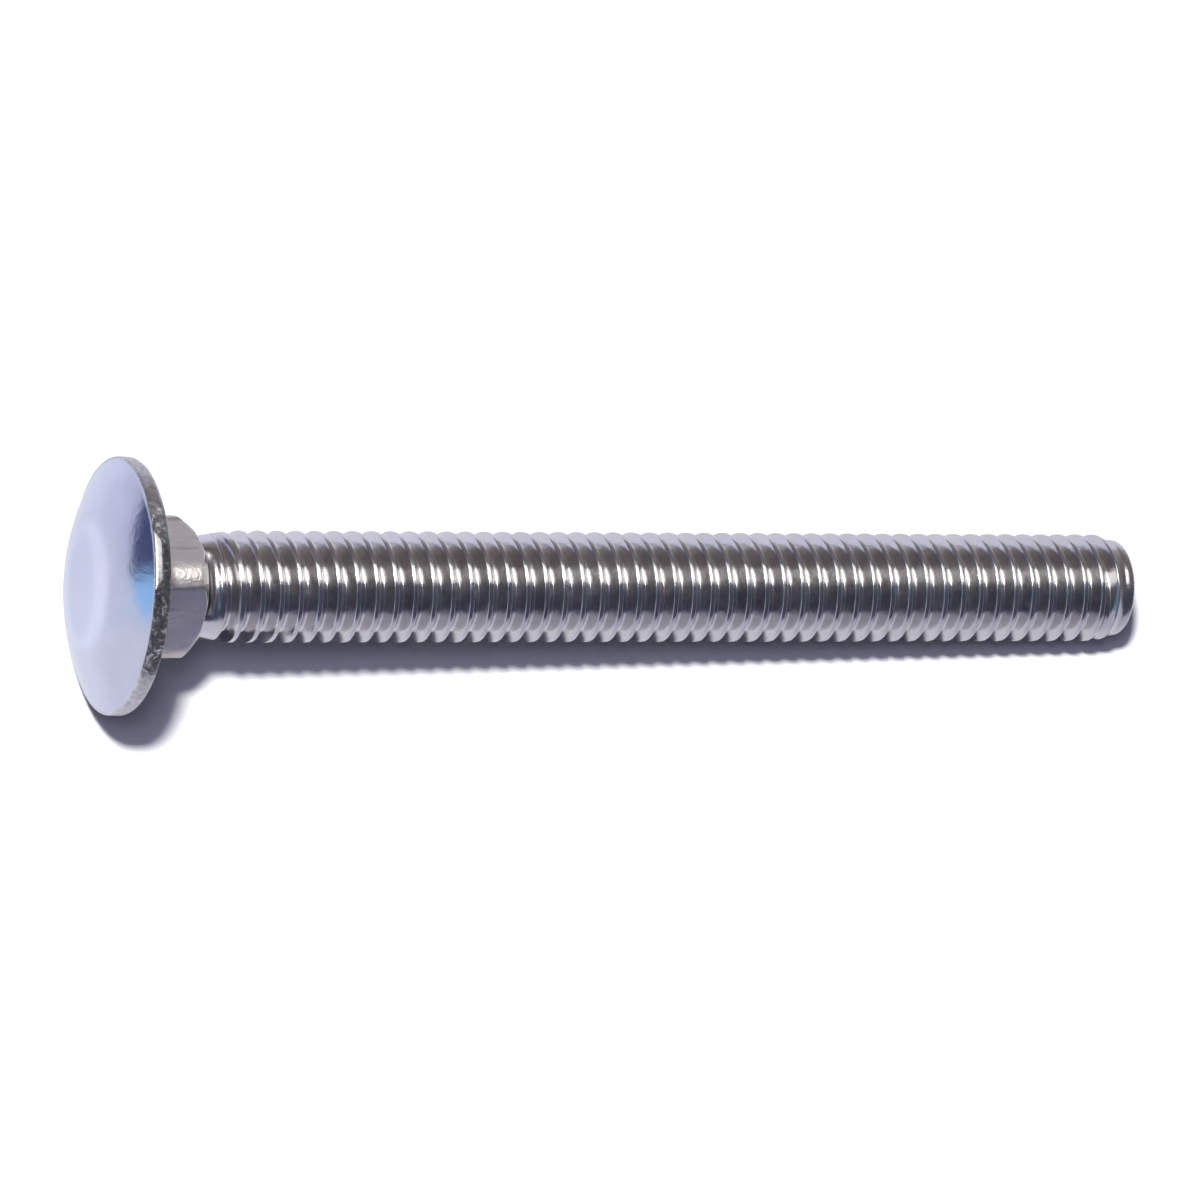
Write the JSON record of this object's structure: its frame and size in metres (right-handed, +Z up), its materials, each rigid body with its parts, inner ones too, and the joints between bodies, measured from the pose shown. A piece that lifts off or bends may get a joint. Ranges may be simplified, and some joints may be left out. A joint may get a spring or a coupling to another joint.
{
  "type": "carriage bolt",
  "caption": "Carriage bolt with a low domed round head, a square neck that stops it turning, and a coarse right-hand thread to the tip.",
  "frame": {"origin": "on the bolt's axis, at the bearing face under the head", "axes": "+Z up; the bolt lies as it comes to rest, on the rim of its head and the crests near its tip, and +X runs along the floor from head to tip, so that the bolt's own axis dips 3.84 degrees below +X; the floor is at the lowest point"},
  "size_m": [0.0795, 0.0176, 0.0177],
  "materials": {
    "stainless": "satin"
  },
  "bodies": {
    "root": {"bolt": "stainless"}
  },
  "joints": []
}
